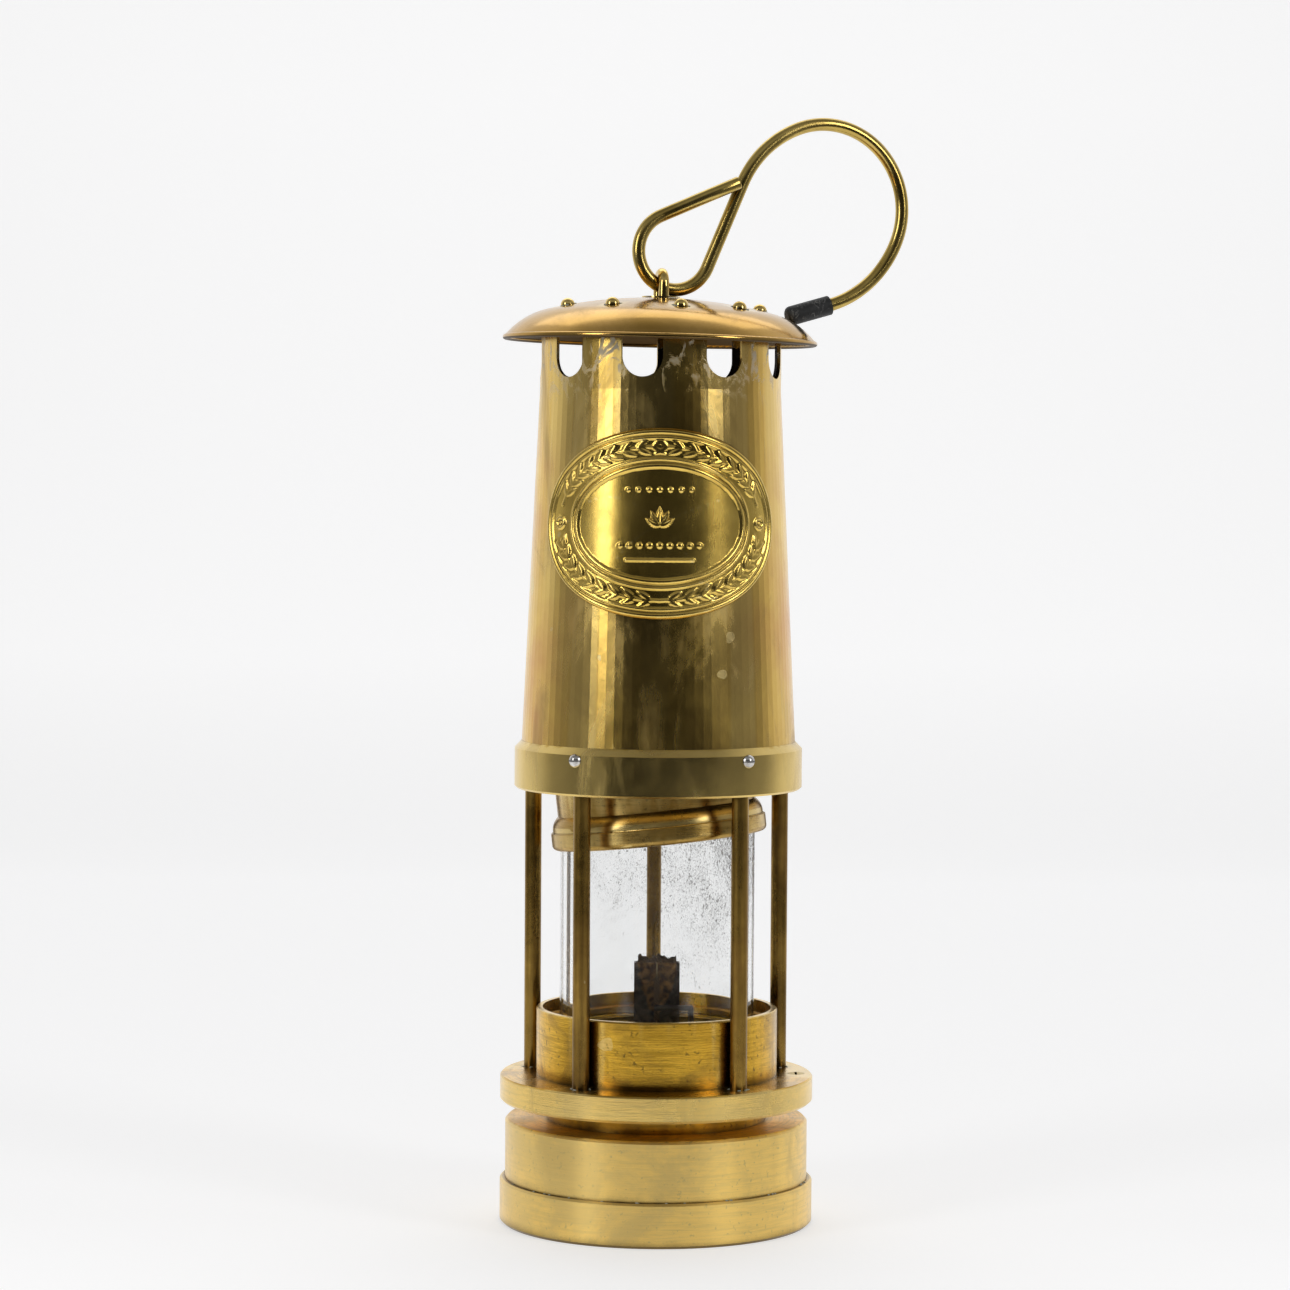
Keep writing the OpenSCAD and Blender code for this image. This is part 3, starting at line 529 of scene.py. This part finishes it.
def wreath_height(x, y):
    """Laurel leaves that run round the band between the two ovals, with a bead at each side."""
    mid_w, mid_h = (BADGE_HALF_W + INNER_HALF_W) / 2, (BADGE_HALF_H + INNER_HALF_H) / 2
    height = 0.0
    for i in range(LEAF_PAIRS):
        a = 2 * math.pi * (i + 0.5) / LEAF_PAIRS
        cx, cy = mid_w * math.cos(a), mid_h * math.sin(a)
        if math.hypot(x - cx, y - cy) > LEAF_REACH or abs(math.cos(a)) > WREATH_GAP_COS:
            continue
        tangent = math.atan2(mid_h * math.cos(a), -mid_w * math.sin(a)) + (0 if math.cos(a) > 0 else math.pi)
        for side in (-1, 1):
            lean = tangent + side * LEAF_LEAN
            dx, dy = x - cx, y - cy
            u = dx * math.cos(lean) + dy * math.sin(lean)
            v = -dx * math.sin(lean) + dy * math.cos(lean)
            height = max(height, leaf_height(u, v, LEAF_LEN, LEAF_W))
        stem = abs(-(x - cx) * math.sin(tangent) + (y - cy) * math.cos(tangent))
        if abs((x - cx) * math.cos(tangent) + (y - cy) * math.sin(tangent)) < 3:
            height = max(height, 0.6 * ridge(stem, 0.4))
    for side in (-1, 1):
        reach = math.hypot(x - side * mid_w, y)
        height = max(height, ridge(reach - 1.45, 0.55), ridge(reach, 0.5))
    return height


def centre_height(x, y):
    """A small lamp flame over a row of beads and a bar, in the inner oval."""
    height = 0.0
    for petal in range(-(PETAL_COUNT // 2), PETAL_COUNT // 2 + 1):
        lean = math.pi / 2 + petal * PETAL_TURN
        u = x * math.cos(lean) + (y - FLAME_Y) * math.sin(lean)
        v = -x * math.sin(lean) + (y - FLAME_Y) * math.cos(lean)
        height = max(height, leaf_height(u, v, PETAL_LEN - 0.55 * abs(petal), PETAL_W))
    for beads, spacing, row_y, radius, level in BEAD_ROWS:
        for bead in range(-(beads // 2), beads // 2 + 1):
            height = max(height, level * ridge(math.hypot(x - bead * spacing, y - row_y), radius))
    if abs(x) < BAR_HALF_LEN:
        height = max(height, 0.8 * ridge(y - BAR_Y, 0.45))
    return height


def badge_height(x, y):
    outer = oval_distance(x, y, BADGE_HALF_W, BADGE_HALF_H)
    inner = oval_distance(x, y, INNER_HALF_W, INNER_HALF_H)
    height = 0.0
    for distance, ridges in ((outer, OUTER_RIDGES), (inner, INNER_RIDGES)):
        for place, half_width, level in ridges:
            height = max(height, level * ridge(distance - place, half_width))
    if outer < -3.2 and inner > 1.6:
        height = max(height, 0.9 * wreath_height(x, y))
    if inner < -1.2:
        height = max(height, 0.9 * centre_height(x, y))
    return height


def make_badge():
    """Embossed sheet, laid round the cone: rings of points from the centre of the oval to its edge."""
    rings, spokes, back_rings = ((110, 400, 8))
    points, faces = [], []

    def place(x, y, out):
        z = BADGE_Z + y
        r = cone_radius(z) + out
        a = x / cone_radius(BADGE_Z)
        return (r * math.sin(a), -r * math.cos(a), z)

    points.append(place(0, 0, LIFT + SHEET_T * 0.5 + RELIEF * badge_height(0, 0)))
    for i in range(1, rings + 1):
        t = i / rings
        for j in range(spokes):
            a = 2 * math.pi * j / spokes
            x, y = BADGE_HALF_W * t * math.cos(a), BADGE_HALF_H * t * math.sin(a)
            fade = 1 - smoothstep(0.985, 1.0, t)
            out = LIFT + SHEET_T * (0.5 + 0.5 * fade) - 0.25 * (1 - fade) + RELIEF * badge_height(x, y) * fade
            points.append(place(x, y, max(out, LIFT + 0.12)))
    last = len(points) - spokes
    for j in range(spokes):
        faces.append((0, 1 + j, 1 + (j + 1) % spokes))
    for i in range(rings - 1):
        a, b = 1 + i * spokes, 1 + (i + 1) * spokes
        for j in range(spokes):
            k = (j + 1) % spokes
            faces.append((a + j, b + j, b + k, a + k))
    # Back of the sheet
    back = len(points)
    for j in range(spokes):
        a = 2 * math.pi * j / spokes
        points.append(place(BADGE_HALF_W * math.cos(a), BADGE_HALF_H * math.sin(a), LIFT))
    for j in range(spokes):
        k = (j + 1) % spokes
        faces.append((last + j, back + j, back + k, last + k))
    for i in range(1, back_rings):
        t = 1 - i / back_rings
        for j in range(spokes):
            a = 2 * math.pi * j / spokes
            points.append(place(BADGE_HALF_W * t * math.cos(a), BADGE_HALF_H * t * math.sin(a), LIFT))
        low, high = back + (i - 1) * spokes, back + i * spokes
        for j in range(spokes):
            k = (j + 1) % spokes
            faces.append((low + j, high + j, high + k, low + k))
    centre = len(points)
    points.append(place(0, 0, LIFT))
    innermost = back + (back_rings - 1) * spokes
    for j in range(spokes):
        faces.append((innermost + j, centre, innermost + (j + 1) % spokes))
    badge = mesh_object("badge_relief", points, faces, "badge")
    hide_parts("badge_plate")
    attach(badge, "frame")


make_badge()


# ---------------------------------------------------------------- wick
def make_wick():
    """Flat woven wick, frayed and charred where it burns."""
    rng = random.Random(7)
    columns, rows = 30, 60
    points, faces = [], []
    ring = []
    for j in range(columns):
        t = -1 + 2 * j / (columns - 1)
        ring.append((WICK_HALF_W * t, -WICK_HALF_T * (1 - 0.5 * abs(t) ** 6)))
    ring += [(x, -y) for x, y in reversed(ring)]
    n = len(ring)
    ragged = [0.5 * math.sin(j * 0.42 + 1.1) + 0.25 * math.sin(j * 1.3) + rng.uniform(-0.12, 0.12)
              for j in range(columns)]
    ragged += list(reversed(ragged))
    for i in range(rows + 1):
        t = i / rows
        for j, (x, y) in enumerate(ring):
            z = WICK_LOW + (WICK_HIGH - WICK_LOW) * t
            burnt = smoothstep(CHAR_FROM, WICK_HIGH, z)
            z += burnt * ragged[j]
            swell = 1 + 0.10 * burnt * rng.uniform(-1, 1)
            points.append((x * (1 - 0.06 * burnt) * swell ** 0.3, y * swell * (1 - 0.25 * burnt), z))
    for i in range(rows):
        for j in range(n):
            k = (j + 1) % n
            faces.append((i * n + j, i * n + k, (i + 1) * n + k, (i + 1) * n + j))
    top = rows * n
    for j in range(columns - 1):
        faces.append((j, n - 1 - j, n - 2 - j, j + 1))
        faces.append((top + j, top + j + 1, top + n - 2 - j, top + n - 1 - j))
    # Burnt threads that stand out of the end
    threads, sides, steps, thread_r, root = 12, 5, 3, 0.26, 74.6
    for _ in range(threads):
        x, y = rng.uniform(-5.2, 5.2), rng.uniform(-0.8, 0.8)
        bend, height = rng.uniform(-0.7, 0.7), rng.uniform(0.4, 1.0)
        base = len(points)
        for step in range(steps + 1):
            t = step / steps
            r = thread_r * (1 - 0.75 * t)
            for side in range(sides):
                a = 2 * math.pi * side / sides
                points.append((x + bend * t * t + r * math.cos(a), y + r * math.sin(a), root + height * t))
        for step in range(steps):
            for side in range(sides):
                low, k = base + step * sides, (side + 1) % sides
                faces.append((low + side, low + k, low + sides + k, low + sides + side))
        faces.append(tuple(base + sides - 1 - side for side in range(sides)))
        faces.append(tuple(base + steps * sides + side for side in range(sides)))
    wick = mesh_object("wick_charred", points, faces, "wick")
    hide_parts("wick")
    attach(wick, "wick")


make_wick()


# ---------------------------------------------------------------- hook wire
# Steps of the wire from the small bend to the tip: (bend radius, turn in degrees), or (0, length)
HOOK_PATH = [(10.8, 222.7), (0, 26.1), (30.3, -45.4), (24, -132.5), (31.5, -53), (0, 12)]
HOOK_TURN, HOOK_BEND_U, HOOK_BEND_Z, LEG_HEADING = 20.0, 4.0, 275.375, 203.7
LEG_LEN, LEG_SPLAY = 24.8, 7.8


def hook_point(x, y, z):
    """From the plane of the wire to the lamp's frame."""
    z -= HOOK_PATH[0][0]
    a, t = math.radians(-LEG_HEADING), math.radians(HOOK_TURN)
    u, w = math.cos(a) * x + math.sin(a) * z + HOOK_BEND_U, -math.sin(a) * x + math.cos(a) * z + HOOK_BEND_Z
    return (math.cos(t) * u - math.sin(t) * y, math.sin(t) * u + math.cos(t) * y, w)


def make_hook():
    sides = 36
    splay = math.radians(LEG_SPLAY)
    rings = []
    # Short leg, its cut end slightly burred
    for t, grow in ((0.0, 0.90), (0.012, 0.99), (0.4, 1.0), (0.8, 1.0)):
        reach = LEG_LEN * (1 - t)
        rings.append((-reach * math.cos(splay), -reach * math.sin(splay), 0.0, 0.0, splay, grow))
    rings.append((-1.5, 0.0, 0.0, 0.0, splay / 2, 1.0))
    x, z, heading = 0.0, 0.0, 0.0
    for radius, amount in HOOK_PATH:
        count = max(2, int(abs(amount) / 2.5)) if radius else 4
        side = 1 if amount > 0 else -1
        for k in range(count):
            f = k / count
            if radius:
                h = heading + math.radians(amount) * f
                rings.append((x + side * radius * (math.sin(h) - math.sin(heading)), 0.0,
                              z - side * radius * (math.cos(h) - math.cos(heading)), h, 0.0, 1.0))
            else:
                rings.append((x + f * amount * math.cos(heading), 0.0, z + f * amount * math.sin(heading),
                              heading, 0.0, 1.0))
        if radius:
            h = heading + math.radians(amount)
            x += side * radius * (math.sin(h) - math.sin(heading))
            z -= side * radius * (math.cos(h) - math.cos(heading))
            heading = h
        else:
            x, z = x + amount * math.cos(heading), z + amount * math.sin(heading)
    rings.append((x, 0.0, z, heading, 0.0, 1.0))
    points, faces = [], []
    for x, y, z, h, s, grow in rings:
        for k in range(sides):
            a = 2 * math.pi * k / sides
            n, b = HOOK_WIRE_R * grow * math.cos(a), HOOK_WIRE_R * grow * math.sin(a)
            points.append(hook_point(x - n * math.sin(h) - b * math.cos(h) * math.sin(s), y + b * math.cos(s),
                                     z + n * math.cos(h) - b * math.sin(h) * math.sin(s)))
    for i in range(len(rings) - 1):
        for k in range(sides):
            j = (k + 1) % sides
            faces.append((i * sides + k, (i + 1) * sides + k, (i + 1) * sides + j, i * sides + j))
    faces.append(tuple(range(sides)))
    last = (len(rings) - 1) * sides
    faces.append(tuple(last + k for k in reversed(range(sides))))
    hook = mesh_object("hook_smooth", points, faces, "wire")
    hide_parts("hook_wire")
    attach(hook, "hook")
    # Braze where the short leg meets the long one: a small fillet between the two wires
    rng = random.Random(5)
    end = (-(LEG_LEN - 1.6) * math.cos(splay), -(LEG_LEN - 1.6) * math.sin(splay), 0.0)
    spots = []
    for _ in range(9):
        along, across, up = rng.uniform(-1.2, 0.9), rng.uniform(1.2, 1.9), rng.uniform(-0.7, 0.7)
        spots.append((hook_point(end[0] + along, end[1] + across, end[2] + up),
                      (rng.uniform(0.5, 0.8), rng.uniform(0.5, 0.8), rng.uniform(0.4, 0.7))))
    return spots


braze_spots = make_hook()


# ---------------------------------------------------------------- residue in the corners
def blob(bm, centre, size, rng):
    matrix = Matrix.Translation(Vector(centre) * MM) @ Matrix.Rotation(rng.uniform(0, 6.28), 4, "Z")
    made = bmesh.ops.create_icosphere(bm, subdivisions=2, radius=1.0)["verts"]
    for v in made:
        wobble = 1 + 0.25 * math.sin(v.co.x * 5 + size[0] * 9) * math.cos(v.co.y * 4 + centre[0])
        v.co = matrix @ Vector((v.co.x * size[0] * MM * wobble, v.co.y * size[1] * MM * wobble,
                                v.co.z * size[2] * MM))


def crust(name, body, spots, key="residue"):
    rng = random.Random(len(name))
    bm = bmesh.new()
    for centre, size in spots:
        blob(bm, centre, size, rng)
    mesh = bpy.data.meshes.new(name)
    bm.to_mesh(mesh)
    bm.free()
    obj = link(name, mesh, key)
    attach(obj, body)


def around(angle, radius, z):
    """A point at an angle from the front, towards +X, in degrees."""
    a = math.radians(angle)
    return (radius * math.sin(a), -radius * math.cos(a), z)


def crown_height(x, y):
    """Height of the hood's tilted crown over a point."""
    return CROWN_Z - (CROWN_R - math.sqrt(CROWN_R ** 2 - x * x - y * y)) - HOOD_TILT * x


def rim_spots(rng, x, y, radius, count, length, width, thick, height_at):
    """Crumbs round a small circle: (place, size) of each."""
    spots = []
    for _ in range(count):
        a = rng.uniform(0, 6.28)
        px, py = x + radius * math.cos(a), y + radius * math.sin(a)
        spots.append(((px, py, height_at(px, py) + 0.02),
                      (rng.uniform(*length), rng.uniform(*width), rng.uniform(*thick))))
    return spots


def make_residue():
    rng = random.Random(11)
    feet = []
    for i in range(PILLAR_COUNT):
        x, y, _ = around(PILLAR_TURN - 36 + 72 * i, PILLAR_R, FLANGE_TOP)
        feet += rim_spots(rng, x, y, PILLAR_D / 2 + 0.05, 7, (0.35, 0.8), (0.3, 0.5), (0.10, 0.24),
                          lambda px, py: FLANGE_TOP)
    crust("pillar_foot_crust", "frame", feet)

    ledge = []
    for _ in range(46):
        ledge.append((around(rng.uniform(0, 360), LEDGE_R, LEDGE_Z),
                      (rng.uniform(0.3, 0.55), rng.uniform(0.3, 0.45), rng.uniform(0.08, 0.28))))
    crust("foot_ledge_crust", "vessel", ledge)

    rivets = []
    for i in range(RIVET_COUNT):
        x, y, _ = around(RIVET_TURN + 360 / RIVET_COUNT * i, RIVET_CIRCLE_R, CROWN_Z)
        rivets += rim_spots(rng, x, y, RIVET_EDGE_R, 8, (0.3, 0.65), (0.3, 0.5), (0.08, 0.2), crown_height)
    crust("rivet_crust", "frame", rivets)


make_residue()
crust("hook_braze", "hook", braze_spots, "bright")


# ---------------------------------------------------------------- stage, light and camera
FLOOR_FRONT, FLOOR_BACK, SWEEP_R, WALL_TOP = -0.42, 0.9, 0.5, 2.4          # metres, along Y and Z
HALF_W_FRONT, HALF_W_BACK, SWEEP_STEPS = 330, 630, 16                     # half widths in mm
CAMERA_DISTANCE, CAMERA_HEIGHT, CAMERA_LENS, CAMERA_ROLL = 1.105, 0.2153, 108.8, 0.35


def make_stage():
    """A pale sweep: the floor runs back and curves up into a wall."""
    points, faces = [], []
    profile = [(FLOOR_FRONT, 0.0), (FLOOR_BACK, 0.0)]
    for i in range(1, SWEEP_STEPS + 1):
        a = math.pi / 2 * i / SWEEP_STEPS
        profile.append((FLOOR_BACK + SWEEP_R * math.sin(a), SWEEP_R - SWEEP_R * math.cos(a)))
    profile.append((FLOOR_BACK + SWEEP_R, WALL_TOP))
    for y, z in profile:
        wide = smoothstep(FLOOR_FRONT, FLOOR_BACK + SWEEP_R, y)
        half = HALF_W_FRONT + (HALF_W_BACK - HALF_W_FRONT) * wide
        points += [(-half, y * 1000, z * 1000), (half, y * 1000, z * 1000)]
    for i in range(len(profile) - 1):
        faces.append((2 * i, 2 * i + 1, 2 * i + 3, 2 * i + 2))

    # It glows a little, more so up the wall and at the front edge, as a lit paper sweep does
    n = Nodes("stage_white")
    _, y, z = n.xyz()
    glow = n.ramp(z, [(0.0, 0.54), (0.03, 0.57), (0.10, 0.645), (0.45, 0.70)])
    n.set(Base_Color=(0.56, 0.56, 0.565), Roughness=0.8, Emission_Color=glow,
          Emission_Strength=n.math("ADD", 1.0, n.math("MULTIPLY", y, -0.7, clamp=True)))
    MATERIALS["stage"] = n.material
    mesh_object("stage_sweep", points, faces, "stage")


def make_world():
    """Light from above and behind, and dark on the camera's side, as in a studio lit from the sides."""
    world = bpy.data.worlds.new("studio")
    bpy.context.scene.world = world
    world.use_nodes = True
    tree = world.node_tree
    background = tree.nodes["Background"]
    where = tree.nodes.new("ShaderNodeTexCoord")
    split = tree.nodes.new("ShaderNodeSeparateXYZ")
    tree.links.new(where.outputs["Generated"], split.inputs[0])

    def ramp(value, stops):
        level = tree.nodes.new("ShaderNodeMapRange")
        level.inputs["From Min"].default_value = -1
        tree.links.new(value, level.inputs["Value"])
        node = tree.nodes.new("ShaderNodeValToRGB")
        node.color_ramp.interpolation = "EASE"
        while len(node.color_ramp.elements) < len(stops):
            node.color_ramp.elements.new(0.5)
        for element, (place, grey) in zip(node.color_ramp.elements, stops):
            element.position = place
            element.color = (grey, grey, grey * 1.01, 1)
        tree.links.new(level.outputs[0], node.inputs["Fac"])
        return node.outputs["Color"]

    # From the camera's side (0) to behind the lamp (1), and from below (0) to straight above (1)
    sides = ramp(split.outputs["Y"], [(0.0, 0.02), (0.09, 0.03), (0.24, 0.12), (0.50, 0.22), (0.78, 0.72),
                                      (1.0, 0.95)])
    above = ramp(split.outputs["Z"], [(0.0, 0.0), (0.66, 0.0), (0.85, 0.30), (1.0, 0.16)])
    both = tree.nodes.new("ShaderNodeMix")
    both.data_type, both.blend_type = "RGBA", "LIGHTEN"
    both.inputs["Factor"].default_value = 1.0
    tree.links.new(sides, both.inputs[6])
    tree.links.new(above, both.inputs[7])
    tree.links.new(both.outputs[2], background.inputs["Color"])
    background.inputs["Strength"].default_value = 1.0


def area(name, place, target, width, height, power):
    light = bpy.data.lights.new(name, "AREA")
    light.shape = "RECTANGLE"
    light.size, light.size_y = width, height
    light.energy = power
    obj = bpy.data.objects.new(name, light)
    obj.location = place
    obj.rotation_euler = (Vector(target) - Vector(place)).to_track_quat("-Z", "Y").to_euler()
    bpy.context.scene.collection.objects.link(obj)


def make_lights():
    middle = (0, 0, 0.16)
    area("softbox_left", (-0.95, -0.80, 0.62), middle, 0.34, 0.80, 3.4)
    area("softbox_right", (0.99, -0.76, 0.72), middle, 0.30, 0.66, 3.1)
    area("overhead", (0, 1.05, 1.6), middle, 1.8, 0.9, 4.2)


def make_camera():
    """At the photographed angle: a little above the glass, looking slightly down, and rolled a little."""
    camera = bpy.data.cameras.new("camera")
    camera.sensor_width = 36
    camera.lens = CAMERA_LENS
    obj = bpy.data.objects.new("camera", camera)
    obj.location = (-0.00125, -CAMERA_DISTANCE, CAMERA_HEIGHT)
    target = Vector((-0.00395, 0.0, 0.164))
    obj.rotation_euler = (target - obj.location).to_track_quat("-Z", "Y").to_euler()
    obj.rotation_euler.rotate_axis("Z", math.radians(CAMERA_ROLL))
    bpy.context.scene.collection.objects.link(obj)
    bpy.context.scene.camera = obj


make_stage()
make_world()
make_lights()
make_camera()
bpy.context.scene.view_settings.view_transform = "Standard"
